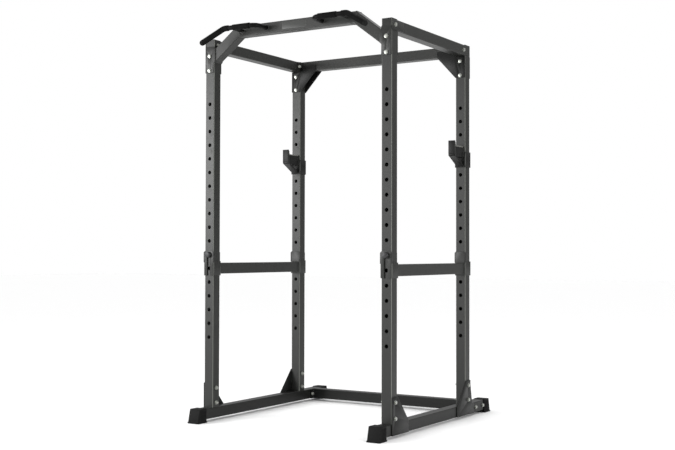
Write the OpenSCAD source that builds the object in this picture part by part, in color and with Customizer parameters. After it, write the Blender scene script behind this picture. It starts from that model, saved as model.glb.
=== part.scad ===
// Power cage: a bolted steel frame with four drilled uprights, a raised chin-up bar with angled
// handles, two height-adjustable spotter bars and two height-adjustable bar hooks.
// Millimetres, +Z up, +X to the right, the user enters from -Y. The origin is on the floor, at
// the middle of the outer box. Inside the modules Y = 0 is midway between the front and rear posts.

/* [Frame] */
// Distance between the left and right post centres
post_span_x = 1110; // [960:1:1360]
// Distance between the front and rear post centres
post_span_y = 850; // [700:1:1100]
// Height of the front post tops above the floor
frame_h = 2084; // [1940:1:2520]
// Side of the square frame tube
tube_w = 58; // [50:1:70]
// Wall of the square frame tube
tube_t = 2; // [1.5:0.5:3]
// Outer corner radius of the frame tube
tube_r = 4; // [3:0.5:6]

/* [Base] */
// How far the base rails run ahead of the front post centres
rail_front = 141; // [105:1:200]
// How far the base rails run behind the rear post centres
rail_rear = 272; // [220:1:360]
// Distance from the rear post centres back to the base crossbar
crossbar_back = 154; // [130:1:180]
// Height of the base gusset plates above the rail
gusset_rise = 132; // [120:1:180]
// Reach of the base gusset plates past the post
gusset_reach = 114; // [80:1:160]
// Length of the rear gussets' heel behind the post
heel_l = 44; // [30:1:60]
// Thickness of every bolted plate
plate_t = 5; // [3:0.5:8]

/* [Holes] */
// Diameter of the height holes
hole_d = 21; // [16:0.5:26]
// Distance between neighbouring height holes
hole_pitch = 75; // [65:0.5:80]
// Number of height holes in each post
hole_count = 18; // [14:1:20]
// Height of the lowest hole above the floor
hole_low_z = 456; // [380:1:520]

/* [Chin-up bar] */
// Height of the chin-up bar's top above the post tops
chin_rise = 58; // [50:1:100]
// Run of each of its legs, from the bend to the post
leg_run = 157; // [120:1:190]
// Slope of its two legs
chin_slope = 37; // [30:1:42]
// Diameter of the steel rod that the handles are bent from
handle_d = 25; // [22:1:30]
// Outer diameter of the rubber grips
grip_d = 31; // [29:1:38]
// Distance from the middle of the bar to each inner handle stub
stub_x = 175; // [140:1:200]
// Distance from the bar's bend in to the outer handle stub
stub_inset = 31; // [28:1:60]
// How far the handles stand in front of the bar
handle_out = 101; // [85:1:140]
// Length of the level grip past the outer stub, up to the corner
grip_past = 34; // [24:1:50]
// Length of a grip's bent outer end, from the corner
handle_tip = 143; // [110:1:180]

/* [Spotter bars] */
// Hole that the spotter pins sit in, counted from the lowest
spotter_hole = 6; // [3:1:8]
// Height of the spotter bar tube
spotter_h = 60; // [50:1:70]
// Width of the spotter bar tube
spotter_w = 50; // [40:1:60]
// Height of the collar round each post
collar_h = 78; // [66:1:90]
// Wall of the collars
collar_t = 5; // [4:0.5:8]
// Gap between a collar and its post, each side
collar_gap = 1; // [0.5:0.25:2]

/* [Bar hooks] */
// Hole that the hook pins sit in, counted from the lowest
hook_hole = 13; // [12:1:14]
// Reach of the hook in front of the post
hook_reach = 115; // [100:1:140]
// Width of the hook
hook_w = 40; // [36:1:50]
// Height of the hook's arm
arm_h = 56; // [45:1:70]
// How far the lip stands above the cradle floor
lip_rise = 26; // [20:1:50]
// Thickness of the lip
lip_t = 10; // [6:1:14]
// Thickness of the cradle liner
liner_t = 6; // [3:0.5:8]

/* [Pins] */
// Gap between a pin and its hole, on the radius
pin_gap = 0.5; // [0.3:0.1:1]
// Diameter of a pin's knob
knob_d = 32; // [28:1:40]
// Length of a pin's knob
knob_l = 16; // [10:1:24]

/* [Feet] */
// Thickness of the rubber under the rails
sole_t = 16; // [10:1:24]
// Length of rail that a foot covers
foot_l = 55; // [45:1:62]
// Wall of a rubber foot
foot_t = 5; // [3:0.5:7]
// How far the foot's end slopes outwards at the floor
foot_flare = 16; // [0:1:20]
// How far the foot's sole stands out on each side
foot_lip = 4; // [0:0.5:6]

/* [Fasteners] */
// Thread diameter of the bolts
bolt_d = 10; // [8:1:12]
// Distance between the two bolts of a pair
bolt_pitch = 80; // [60:1:100]

/* [Hidden] */
$fn = 48;

EPS = 0.01;
FRONT = -1;
REAR = 1;
LEFT = -1;
RIGHT = 1;

// Frame levels and planes
px = post_span_x / 2;
py = post_span_y / 2;
half = tube_w / 2;
rail_z = sole_t;
rail_top = rail_z + tube_w;
top_rail_z = frame_h - tube_w;
crossbar_y = py + crossbar_back;
tube_in = tube_w - 2 * tube_t;
bore_cut = tube_w + 2 * EPS;

// Bolts, their holes and the edge that a plate keeps round them
bolt_gap = 0.5;
bolt_hole = bolt_d + 2 * bolt_gap;
head_af = bolt_d * 1.7;
head_h = bolt_d * 0.64;
nut_h = bolt_d * 0.84;
washer_d = bolt_d * 2.2;
washer_t = 2;
bolt_tail = 4;
thread_gap = 0.1;
plate_edge = 13;

// Base gussets and the flanges of the base crossbar
base_bolt_rise = 25;
base_bolt_z = [rail_top + base_bolt_rise, rail_top + base_bolt_rise + bolt_pitch];
heel_drop = 20;
crossbar_bolt_dy = half + 18;

// Top corners
bracket_bolt_drop = 30;
bracket_bolt_z = [top_rail_z - bracket_bolt_drop - bolt_pitch, top_rail_z - bracket_bolt_drop];
bracket_low_z = bracket_bolt_z[0] - plate_edge;
bracket_reach = 115;
bracket_rise = 34;
weld_gap = 1;
flange_gap = 2;
flange_lip = 1;
window_lip = 8;
top_bolt_inset = 48;
top_bolt_y = py - top_bolt_inset;
top_bolt_z = frame_h - half;
lap_plate_l = 60;
lap_plate_t = 4;
lap_edge = 3;
plug_gap = 0.5;
plug_w = tube_in - 2 * plug_gap;
cap_t = 3;
cap_skirt = 15;

// Chin-up bar and the plates that hold its legs
chin_half = px - half - leg_run;
chin_z = frame_h + chin_rise - half;
leg_end_x = px - half;
leg_drop = tan(chin_slope);
mitre = half * tan(chin_slope / 2);
leg_upper = [chin_half + mitre, chin_z + half];
leg_lower = [chin_half - mitre, chin_z - half];
chin_plate_rise = 21;
chin_plate_x = leg_end_x - 9;

// Handles, in the order that a tube bender works: straight, then roll and bend
handle_r = handle_d / 2;
grip_r = grip_d / 2;
grip_gap = 1;
bend_r = 40;
bend_lap = 1;
bend_slip = 0.05;
tip_way = [121, -30, -69];
tip_bend = acos(tip_way.x / norm(tip_way));
tip_roll = atan2(tip_way.z, tip_way.y);
tip_tangent = bend_r * tan(tip_bend / 2);
stub_l = handle_out - bend_r;
outer_stub_x = chin_half - stub_inset - stub_x - bend_r;
outer_stub_w = 30;
outer_stub_t = 8;
outer_stub_in = outer_stub_x - outer_stub_w / 2;
outer_stub_end = outer_stub_x + outer_stub_w / 2;
run_l = outer_stub_x + grip_past;
tip_l = handle_tip - tip_tangent;
tip_end_y = -py - half - handle_out + tip_way.y * handle_tip / norm(tip_way);

// Badge
badge_w = 150;
badge_h = 36;
badge_t = 1;

// Collars and spotter bars
pin_d = hole_d - 2 * pin_gap;
collar_r = tube_r + collar_gap + collar_t;
collar_in = tube_w + 2 * collar_gap;
collar_out = collar_in + 2 * collar_t;
collar_wall_y = (collar_out - collar_t) / 2;
spotter_pin_z = hole_z(spotter_hole);
spotter_z = spotter_pin_z - hole_pitch;
spotter_l = post_span_y - collar_out;
spotter_t = 2.5;
spotter_r = 3;
tongue_top = spotter_pin_z + 20;
tongue_lap = 6;
tongue_inset = 1;
tongue_corner = 8;

// Hooks
hook_pin_z = hole_z(hook_hole);
hook_collar_z = hook_pin_z - 33;
hook_collar_h = 86;
hook_front = half + hook_reach;
arm_top = hook_collar_z + hook_collar_h + 24;
arm_bottom = arm_top - arm_h;
arm_t = 3;
arm_r = 2;
lip_top = arm_top + liner_t + lip_rise;
lip_bottom = arm_bottom + 14;
brace_t = 8;
brace_root_t = 11;
brace_foot = 3;
brace_inset = 2;
liner_side_z = lip_top - 8;
liner_inset = 1;
liner_gap = 0.5;

// Pins
knob_gap = 0.5;
knob_edge = 1;
knob_waist = 3;
knob_dome = 2;
pin_grip = half + collar_gap + collar_t + knob_gap;

// Feet
boot_top_t = 3;
boot_toe_h = 8;
boot_end_front = py + rail_front + foot_t + foot_flare;
boot_end_rear = py + rail_rear + foot_t + foot_flare;

// Middle of the outer box along Y
origin_y = (boot_end_rear - max(boot_end_front, grip_r - tip_end_y)) / 2;

function hole_z(n) = hole_low_z + n * hole_pitch;

// ---------- frame of reference ----------
module from_floor_centre() translate([0, -origin_y, 0]) children();
module along_x() rotate([0, 90, 0]) children();
module along_y() rotate([-90, 0, 0]) children();
module at_side(s) mirror([s == LEFT ? 1 : 0, 0, 0]) children();
module at_end(e) mirror([0, e == REAR ? 1 : 0, 0]) children();

// ---------- shared shapes ----------
module round_rect(w, d, r) {
    square([w, d - 2 * r], center = true);
    square([w - 2 * r, d], center = true);
    for (sx = [-1, 1], sy = [-1, 1])
        translate([sx * (w / 2 - r), sy * (d / 2 - r)]) circle(r);
}
module box_tube(w, d, l, t, r) {
    linear_extrude(l) difference() {
        round_rect(w, d, r);
        round_rect(w - 2 * t, d - 2 * t, max(r - t, 0.5));
    }
}
module frame_tube(l) box_tube(tube_w, tube_w, l, tube_t, tube_r);
module drill_x(y, z, d, l = 2 * bore_cut) translate([-l / 2, y, z]) along_x() cylinder(d = d, h = l);
module drill_y(x, z, d, l = 2 * bore_cut) translate([x, -l / 2, z]) along_y() cylinder(d = d, h = l);
module plate_xz(points, t = plate_t) rotate([90, 0, 0]) linear_extrude(t) polygon(points);
module plate_yz(points, t = plate_t) rotate([90, 0, 90]) linear_extrude(t) polygon(points);
module hexagon(af) circle(d = af / cos(30), $fn = 6);

// Each flange is open over its tube's bore, so that no space is closed in
module flange_windows(y, z) {
    window_w = tube_w - 2 * (tube_t + window_lip);
    for (s = [LEFT, RIGHT]) at_side(s)
        translate([px - half - 2 * plate_t, y, z]) along_x()
            linear_extrude(3 * plate_t) round_rect(window_w, window_w, tube_r);
}

// ---------- base ----------
module base_rail() {
    y0 = -py - rail_front;
    difference() {
        translate([px, y0, rail_z + half]) along_y() frame_tube(post_span_y + rail_front + rail_rear);
        for (e = [-1, 1])
            translate([px, 0, 0]) drill_x(crossbar_y + e * crossbar_bolt_dy, rail_z + half, bolt_hole);
    }
}
module base_rail_left() color("#3d3f3c") from_floor_centre() at_side(LEFT) base_rail();
module base_rail_right() color("#3d3f3c") from_floor_centre() at_side(RIGHT) base_rail();

module base_crossbar() color("#3d3f3c") from_floor_centre() {
    half_l = px - half;
    difference() {
        union() {
            translate([-half_l + plate_t, crossbar_y, rail_z + half])
                along_x() frame_tube(2 * (half_l - plate_t));
            for (s = [LEFT, RIGHT]) at_side(s)
                translate([half_l - plate_t, crossbar_y, rail_z + half]) along_x()
                    linear_extrude(plate_t) round_rect(tube_w, 2 * (crossbar_bolt_dy + plate_edge), tube_r);
        }
        flange_windows(crossbar_y, rail_z + half);
        for (s = [LEFT, RIGHT], e = [-1, 1]) at_side(s)
            translate([half_l, 0, 0])
                drill_x(crossbar_y + e * crossbar_bolt_dy, rail_z + half, bolt_hole, 4 * plate_t);
    }
}

// A gusset lies on the outer faces of a rail and a post. Its front version is drawn; the rear one
// is turned round and has a short heel behind the post.
module base_gusset(heel) {
    post_out = -py - half;
    post_in = -py + half;
    gusset_top = rail_top + gusset_rise;
    slope = [[post_in + gusset_reach, rail_z], [post_in + gusset_reach, rail_top], [post_in, gusset_top],
             [post_out, gusset_top]];
    straight_back = [[post_out, rail_z]];
    heel_back = [[post_out, gusset_top - heel_drop], [post_out - heel / 2, rail_top],
                 [post_out - heel, rail_top], [post_out - heel, rail_z]];
    difference() {
        translate([px + half, 0, 0]) plate_yz(concat(slope, heel > 0 ? heel_back : straight_back));
        for (z = base_bolt_z) translate([px + half, 0, 0]) drill_x(-py, z, bolt_hole, 4 * plate_t);
    }
}
module base_gusset_front_left() color("#3d3f3c") from_floor_centre() at_side(LEFT) base_gusset(0);
module base_gusset_front_right() color("#3d3f3c") from_floor_centre() at_side(RIGHT) base_gusset(0);
module base_gusset_rear_left() color("#3d3f3c")
    from_floor_centre() at_side(LEFT) at_end(REAR) base_gusset(heel_l);
module base_gusset_rear_right() color("#3d3f3c")
    from_floor_centre() at_side(RIGHT) at_end(REAR) base_gusset(heel_l);

// ---------- posts ----------
module post(e, top) {
    difference() {
        translate([px, e * py, rail_top]) frame_tube(top - rail_top);
        for (n = [0 : hole_count - 1]) translate([0, e * py, 0]) drill_y(px, hole_z(n), hole_d);
        for (z = base_bolt_z) translate([px, 0, 0]) drill_x(e * py, z, bolt_hole);
        for (z = bracket_bolt_z) translate([0, e * py, 0]) drill_y(px, z, bolt_hole);
        if (e == FRONT) translate([px, 0, 0]) drill_x(e * py, top_bolt_z, bolt_hole);
    }
}
module post_front_left() color("#4a4c48") from_floor_centre() at_side(LEFT) post(FRONT, frame_h);
module post_front_right() color("#4a4c48") from_floor_centre() at_side(RIGHT) post(FRONT, frame_h);
module post_rear_left() color("#4a4c48") from_floor_centre() at_side(LEFT) post(REAR, top_rail_z);
module post_rear_right() color("#4a4c48") from_floor_centre() at_side(RIGHT) post(REAR, top_rail_z);

// A push-in plug closes the top of each front post
module post_caps() color("#222222") from_floor_centre()
    for (s = [LEFT, RIGHT]) at_side(s) translate([px, -py, frame_h]) {
        linear_extrude(cap_t) round_rect(tube_w, tube_w, tube_r);
        translate([0, 0, -cap_skirt])
            linear_extrude(cap_skirt) round_rect(plug_w, plug_w, tube_r - tube_t);
    }

// ---------- top frame ----------
module top_rail() {
    difference() {
        translate([px, -py + half, top_rail_z + half]) along_y() frame_tube(post_span_y);
        translate([px, 0, 0]) drill_x(top_bolt_y, top_bolt_z, bolt_hole);
    }
}
module top_rail_left() color("#55574f") from_floor_centre() at_side(LEFT) top_rail();
module top_rail_right() color("#55574f") from_floor_centre() at_side(RIGHT) top_rail();

// Lap plates hold the rails' front ends to the outer faces of the front posts
module top_rail_plates() color("#4a4c48") from_floor_centre()
    for (s = [LEFT, RIGHT]) at_side(s) difference() {
        translate([px + half, -py + lap_plate_l / 2, frame_h - half]) along_x()
            linear_extrude(lap_plate_t) round_rect(tube_w - 2 * lap_edge, tube_w + lap_plate_l, tube_r);
        translate([px + half, 0, 0]) drill_x(-py, top_bolt_z, bolt_hole, 4 * plate_t);
    }

// A cap covers the rear end of each top rail: a top and an end wall, open underneath and at the sides
module top_rail_caps() color("#1c1c1c") from_floor_centre()
    for (s = [LEFT, RIGHT]) at_side(s) translate([px - half, py - half, top_rail_z]) {
        translate([0, 0, tube_w]) cube([tube_w, tube_w + cap_t, cap_t]);
        translate([0, tube_w, 0]) cube([tube_w, cap_t, tube_w]);
    }

module top_crossbar() color("#3d3f3c") from_floor_centre() {
    half_l = px - half;
    flange_y = top_bolt_y - plate_edge;
    flange_end = py + half - flange_lip;
    difference() {
        union() {
            translate([-half_l + plate_t, py, top_rail_z + half])
                along_x() frame_tube(2 * (half_l - plate_t));
            for (s = [LEFT, RIGHT]) at_side(s)
                translate([half_l - plate_t, (flange_y + flange_end) / 2, top_rail_z + half]) along_x()
                    linear_extrude(plate_t)
                        round_rect(tube_w - 2 * flange_lip, flange_end - flange_y, tube_r - flange_lip);
        }
        flange_windows(py, top_rail_z + half);
        for (s = [LEFT, RIGHT]) at_side(s)
            translate([half_l, 0, 0]) drill_x(top_bolt_y, top_bolt_z, bolt_hole, 4 * plate_t);
    }
}

// Two triangular plates clamp each rear post and carry the crossbar
module rear_bracket() {
    x_out = px + half;
    x_post = px - half;
    x_flange = x_post - plate_t - flange_gap;
    x_tip = x_post - bracket_reach;
    under_rail = top_rail_z - weld_gap;
    outline = [[x_out, bracket_low_z], [x_out, under_rail], [x_flange, under_rail],
               [x_flange, top_rail_z + bracket_rise], [x_tip, top_rail_z + bracket_rise],
               [x_tip, top_rail_z], [x_post, bracket_low_z]];
    for (e = [FRONT, REAR]) difference() {
        translate([0, py + e * half + (e == REAR ? plate_t : 0), 0]) plate_xz(outline);
        for (z = bracket_bolt_z) translate([0, py, 0]) drill_y(px, z, bolt_hole, 2 * tube_w);
    }
}
module rear_bracket_left() color("#2e302e") from_floor_centre() at_side(LEFT) rear_bracket();
module rear_bracket_right() color("#2e302e") from_floor_centre() at_side(RIGHT) rear_bracket();

// ---------- chin-up bar ----------
// The middle tube and its two legs are cut at half the slope angle and welded end to end
module chin_bar() color("#4a4c48") from_floor_centre() intersection() {
    translate([-chin_half - tube_w, -py, chin_z]) along_x() frame_tube(2 * (chin_half + tube_w));
    translate([0, -py + tube_w, 0]) rotate([90, 0, 0]) linear_extrude(2 * tube_w)
        polygon([for (p = [leg_lower, leg_upper]) [p.x, p.y], for (p = [leg_upper, leg_lower]) [-p.x, p.y]]);
}
module chin_leg() {
    run = leg_run + tube_w;
    below = chin_z - leg_run - 2 * tube_w;
    intersection() {
        translate([chin_half, -py, chin_z]) rotate([0, chin_slope, 0]) translate([-tube_w, 0, 0])
            along_x() frame_tube(run / cos(chin_slope) + tube_w);
        translate([0, -py + tube_w, 0]) rotate([90, 0, 0]) linear_extrude(2 * tube_w)
            polygon([leg_lower, leg_upper, [leg_end_x, leg_upper.y], [leg_end_x, below]]);
    }
}
module chin_leg_left() color("#4a4c48") from_floor_centre() at_side(LEFT) chin_leg();
module chin_leg_right() color("#4a4c48") from_floor_centre() at_side(RIGHT) chin_leg();

// A front and a rear plate are welded to each leg and bolted through the post
function leg_line(p, x) = p.y - (x - p.x) * leg_drop;
module chin_plate(top_z) plate_xz([
    [px + half, bracket_low_z], [px + half, top_z], [leg_end_x, top_z],
    [leg_end_x, min(top_z, leg_line(leg_upper, leg_end_x))],
    [chin_plate_x, min(top_z, leg_line(leg_upper, chin_plate_x))],
    [chin_plate_x, leg_line(leg_lower, chin_plate_x)],
    [leg_end_x, leg_line(leg_lower, leg_end_x)], [leg_end_x, bracket_low_z]]);
module chin_plates() difference() {
    union() {
        translate([0, -py - half, 0]) chin_plate(top_rail_z + chin_plate_rise);
        translate([0, -py + half + plate_t, 0]) chin_plate(top_rail_z - weld_gap);
    }
    for (z = bracket_bolt_z) translate([0, -py, 0]) drill_y(px, z, bolt_hole, 2 * tube_w);
}
module chin_plates_left() color("#4a4c48") from_floor_centre() at_side(LEFT) chin_plates();
module chin_plates_right() color("#4a4c48") from_floor_centre() at_side(RIGHT) chin_plates();

module badge_plate() color("#8b8d88") from_floor_centre()
    translate([0, -py - half, chin_z]) rotate([90, 0, 0])
        linear_extrude(badge_t) round_rect(badge_w, badge_h, tube_r);

// ---------- handles ----------
module rod(r, l) along_x() cylinder(r = r, h = l);
module elbow(r, a) translate([0, bend_r, 0]) rotate([0, 0, -90])
    rotate_extrude(angle = a) translate([bend_r, 0]) circle(r);
module after_elbow(a) translate([bend_r * sin(a), bend_r * (1 - cos(a)), 0]) rotate([0, 0, a]) children();
// Moves to the start of the level run, and to the start of the bent tip
module at_run() translate([stub_x, -py - half, chin_z]) rotate([0, 0, -90])
    translate([stub_l, 0, 0]) after_elbow(90) children();
module at_tip() translate([run_l, 0, 0]) rotate([tip_roll, 0, 0]) children();

// The tip's bend is a hair thinner than the straights, which lap over both of its ends
module bent_tip(r) {
    elbow(r - bend_slip, tip_bend);
    after_elbow(tip_bend) translate([-bend_lap, 0, 0]) rod(r, tip_l + bend_lap);
}

module handle() {
    translate([stub_x, -py - half, chin_z]) rotate([0, 0, -90]) {
        rod(handle_r, stub_l);
        translate([stub_l, 0, 0]) elbow(handle_r, 90);
    }
    at_run() {
        rod(handle_r, run_l + bend_lap);
        at_tip() bent_tip(handle_r);
        translate([outer_stub_in, 0, -outer_stub_t / 2])
            cube([outer_stub_w, handle_out, outer_stub_t]);
    }
}
module handle_left() color("#1a1a1a") from_floor_centre() at_side(LEFT) handle();
module handle_right() color("#1a1a1a") from_floor_centre() at_side(RIGHT) handle();

// A short grip covers the run between the stubs, and a long one the bent tip
module grips() at_run() difference() {
    union() {
        rod(grip_r, outer_stub_in - grip_gap);
        translate([outer_stub_end + grip_gap, 0, 0])
            rod(grip_r, run_l + bend_lap - outer_stub_end - grip_gap);
        at_tip() bent_tip(grip_r);
    }
    translate([-EPS, 0, 0]) rod(handle_r, run_l + bend_lap + EPS);
    at_tip() bent_tip(handle_r);
}
module grips_left() color("#141414") from_floor_centre() at_side(LEFT) grips();
module grips_right() color("#141414") from_floor_centre() at_side(RIGHT) grips();

module grip_caps() color("#0f0f0f") from_floor_centre()
    for (s = [LEFT, RIGHT]) at_side(s) at_run() at_tip() after_elbow(tip_bend)
        translate([tip_l, 0, 0]) intersection() {
            sphere(grip_r);
            rod(2 * grip_r, grip_r);
        }

// ---------- feet ----------
// A rubber boot over the rail's end, with its end face sloping out towards the floor and a wider sole
module foot(end_y) {
    y_in = end_y - foot_l;
    y_wall = end_y + foot_t;
    boot_w = tube_w + 2 * foot_t;
    boot_top = rail_top + boot_top_t;
    outline = [[y_in, 0], [y_wall + foot_flare, 0], [y_wall + foot_flare, boot_toe_h],
               [y_wall, boot_top], [y_in, boot_top]];
    difference() {
        union() {
            translate([px - boot_w / 2, 0, 0]) plate_yz(outline, boot_w);
            translate([px - boot_w / 2 - foot_lip, y_in, 0])
                cube([boot_w + 2 * foot_lip, y_wall + foot_flare - y_in, boot_toe_h]);
        }
        translate([px - half, y_in - EPS, rail_z]) cube([tube_w, foot_l + EPS, tube_w]);
    }
}
module foot_front_left() color("#151515") from_floor_centre()
    at_side(LEFT) mirror([0, 1, 0]) foot(py + rail_front);
module foot_front_right() color("#151515") from_floor_centre()
    at_side(RIGHT) mirror([0, 1, 0]) foot(py + rail_front);
module foot_rear_left() color("#151515") from_floor_centre() at_side(LEFT) foot(py + rail_rear);
module foot_rear_right() color("#151515") from_floor_centre() at_side(RIGHT) foot(py + rail_rear);

// ---------- fasteners ----------
// Each row of a list is [position, clamped length], for a bolt whose head is at the position and
// whose shank runs inwards: along -X for side bolts and along +Y for front bolts
base_joints = [for (e = [FRONT, REAR], z = base_bolt_z)
    [[px + half + plate_t, e * py, z], tube_w + plate_t]];
crossbar_joints = [for (e = [-1, 1])
    [[px + half, crossbar_y + e * crossbar_bolt_dy, rail_z + half], tube_w + plate_t]];
top_rail_joints = [[[px + half + lap_plate_t, -py, top_bolt_z], tube_w + lap_plate_t],
                   [[px + half, top_bolt_y, top_bolt_z], tube_w + plate_t]];
bracket_joints = [for (e = [FRONT, REAR], z = bracket_bolt_z)
    [[px, e * py - half - plate_t, z], tube_w + 2 * plate_t]];

module bolt(l) {
    translate([0, 0, -washer_t - head_h]) linear_extrude(head_h) hexagon(head_af);
    translate([0, 0, -washer_t]) cylinder(d = bolt_d, h = l + 2 * washer_t + nut_h + bolt_tail);
}
module nut(l) translate([0, 0, l + washer_t])
    linear_extrude(nut_h) difference() {
        hexagon(head_af);
        circle(d = bolt_d + 2 * thread_gap);
    }
module washer_pair(l) for (z = [-washer_t, l]) translate([0, 0, z])
    linear_extrude(washer_t) difference() {
        circle(d = washer_d);
        circle(d = bolt_hole);
    }
module side_joint(j) for (s = [LEFT, RIGHT])
    at_side(s) translate(j[0]) rotate([0, -90, 0]) children();
module front_joint(j) for (s = [LEFT, RIGHT]) at_side(s) translate(j[0]) along_y() children();

module base_bolts() color("#c9cbc8") from_floor_centre() for (j = base_joints) side_joint(j) bolt(j[1]);
module crossbar_bolts() color("#c9cbc8") from_floor_centre()
    for (j = crossbar_joints) side_joint(j) bolt(j[1]);
module top_rail_bolts() color("#c9cbc8") from_floor_centre()
    for (j = top_rail_joints) side_joint(j) bolt(j[1]);
module bracket_bolts() color("#c9cbc8") from_floor_centre()
    for (j = bracket_joints) front_joint(j) bolt(j[1]);
module lock_nuts() color("#b9bbb8") from_floor_centre() {
    for (j = concat(base_joints, crossbar_joints, top_rail_joints)) side_joint(j) nut(j[1]);
    for (j = bracket_joints) front_joint(j) nut(j[1]);
}
module washers() color("#c2c4c1") from_floor_centre() {
    for (j = concat(base_joints, crossbar_joints, top_rail_joints)) side_joint(j) washer_pair(j[1]);
    for (j = bracket_joints) front_joint(j) washer_pair(j[1]);
}

// ---------- spotter bars ----------
module spotter_bar() translate([px, -spotter_l / 2, spotter_z])
    along_y() box_tube(spotter_w, spotter_h, spotter_l, spotter_t, spotter_r);
module spotter_bar_left() color("#4a4c48") from_floor_centre() at_side(LEFT) spotter_bar();
module spotter_bar_right() color("#4a4c48") from_floor_centre() at_side(RIGHT) spotter_bar();

module collar_ring(h) linear_extrude(h) difference() {
    round_rect(collar_out, collar_out, collar_r);
    round_rect(collar_in, collar_in, collar_r - collar_t);
}
// A slot that is open at the bottom lets the collar drop onto its pin and lift off it
module pin_slot(pin_z, below) {
    drill_y(0, pin_z, hole_d, 2 * collar_t);
    translate([-hole_d / 2, -collar_t, below - EPS]) cube([hole_d, 2 * collar_t, pin_z - below + EPS]);
}
// The collar of the front post: a ring whose front and rear walls rise round the pin. The pin comes
// in from the front; the bar is welded to the rear. The wall that faces the front of the cage is wide.
module spotter_collar(wide) {
    low = spotter_z - collar_h / 2;
    lap_z = low + collar_h - tongue_lap;
    translate([px, -py, 0]) difference() {
        union() {
            translate([0, 0, low]) collar_ring(collar_h);
            for (e = [FRONT, REAR]) translate([0, e * collar_wall_y + collar_t / 2, 0])
                plate_xz(tongue(e == wide ? collar_out / 2 - tongue_inset : collar_out / 2 - collar_r, lap_z),
                    collar_t);
        }
        translate([0, -collar_wall_y, 0]) pin_slot(spotter_pin_z, low);
    }
}
function tongue(side, z) = [[-side, z], [side, z], [side, tongue_top - tongue_corner],
    [side - tongue_corner, tongue_top], [-side + tongue_corner, tongue_top],
    [-side, tongue_top - tongue_corner]];
module spotter_collar_front_left() color("#4a4c48")
    from_floor_centre() at_side(LEFT) spotter_collar(FRONT);
module spotter_collar_front_right() color("#4a4c48")
    from_floor_centre() at_side(RIGHT) spotter_collar(FRONT);
module spotter_collar_rear_left() color("#4a4c48")
    from_floor_centre() at_side(LEFT) at_end(REAR) spotter_collar(REAR);
module spotter_collar_rear_right() color("#4a4c48")
    from_floor_centre() at_side(RIGHT) at_end(REAR) spotter_collar(REAR);

// ---------- bar hooks ----------
// Collar, arm tube and diagonal brace, welded together. The pin comes in from behind.
module hook_bracket() {
    arm_l = hook_front - lip_t - collar_out / 2;
    root_y = -collar_out / 2;
    root_z = hook_collar_z + brace_foot;
    end_y = -hook_front + brace_inset;
    brace = [[root_y, root_z], [end_y, lip_bottom - brace_t], [end_y, lip_bottom],
             [-hook_front + lip_t, lip_bottom], [root_y, root_z + brace_root_t]];
    translate([px, py, 0]) difference() {
        union() {
            translate([0, 0, hook_collar_z]) collar_ring(hook_collar_h);
            translate([0, -hook_front + lip_t, arm_top - arm_h / 2])
                along_y() box_tube(hook_w, arm_h, arm_l, arm_t, arm_r);
            translate([-hook_w / 2, 0, 0]) plate_yz(brace, hook_w);
        }
        translate([0, collar_wall_y, 0]) pin_slot(hook_pin_z, hook_collar_z);
    }
}
module hook_bracket_left() color("#3a3c3a") from_floor_centre() at_side(LEFT) hook_bracket();
module hook_bracket_right() color("#3a3c3a") from_floor_centre() at_side(RIGHT) hook_bracket();

module hook_lip() translate([px - hook_w / 2, py - hook_front, lip_bottom])
    cube([hook_w, lip_t, lip_top - lip_bottom]);
module hook_lip_left() color("#3a3c3a") from_floor_centre() at_side(LEFT) hook_lip();
module hook_lip_right() color("#3a3c3a") from_floor_centre() at_side(RIGHT) hook_lip();

// A plastic liner covers the cradle floor and the back of the lip
module hook_liner() {
    y_lip = -hook_front + lip_t;
    y_collar = -collar_out / 2 - liner_gap;
    floor_z = arm_top + liner_t;
    profile = [[y_lip, arm_top], [y_lip, liner_side_z], [y_lip + liner_t, liner_side_z],
               [y_lip + liner_t, floor_z + liner_t], [y_lip + 2 * liner_t, floor_z],
               [y_collar, floor_z], [y_collar, arm_top]];
    translate([px - hook_w / 2 + liner_inset, py, 0]) plate_yz(profile, hook_w - 2 * liner_inset);
}
module hook_liner_left() color("#8a8c86") from_floor_centre() at_side(LEFT) hook_liner();
module hook_liner_right() color("#8a8c86") from_floor_centre() at_side(RIGHT) hook_liner();

// ---------- pins ----------
// The shank reaches the far face of the post and ends in a waisted knob
module pin() {
    knob_r = knob_d / 2;
    translate([0, 0, -half]) cylinder(d = pin_d, h = half + pin_grip);
    translate([0, 0, pin_grip]) rotate_extrude() polygon([
        [0, 0], [knob_r - knob_edge, 0], [knob_r, knob_edge], [knob_r, knob_l / 4],
        [knob_r - knob_waist, knob_l / 2], [knob_r, knob_l * 3 / 4], [knob_r, knob_l - knob_dome],
        [knob_r - knob_dome, knob_l], [0, knob_l]]);
}
module pin_at(e, z) translate([px, e * py, z]) rotate([-90 * e, 0, 0]) pin();
module spotter_pin_front_left() color("#202020")
    from_floor_centre() at_side(LEFT) pin_at(FRONT, spotter_pin_z);
module spotter_pin_front_right() color("#202020")
    from_floor_centre() at_side(RIGHT) pin_at(FRONT, spotter_pin_z);
module spotter_pin_rear_left() color("#202020")
    from_floor_centre() at_side(LEFT) pin_at(REAR, spotter_pin_z);
module spotter_pin_rear_right() color("#202020")
    from_floor_centre() at_side(RIGHT) pin_at(REAR, spotter_pin_z);
module hook_pin_left() color("#202020") from_floor_centre() at_side(LEFT) pin_at(REAR, hook_pin_z);
module hook_pin_right() color("#202020") from_floor_centre() at_side(RIGHT) pin_at(REAR, hook_pin_z);

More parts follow.
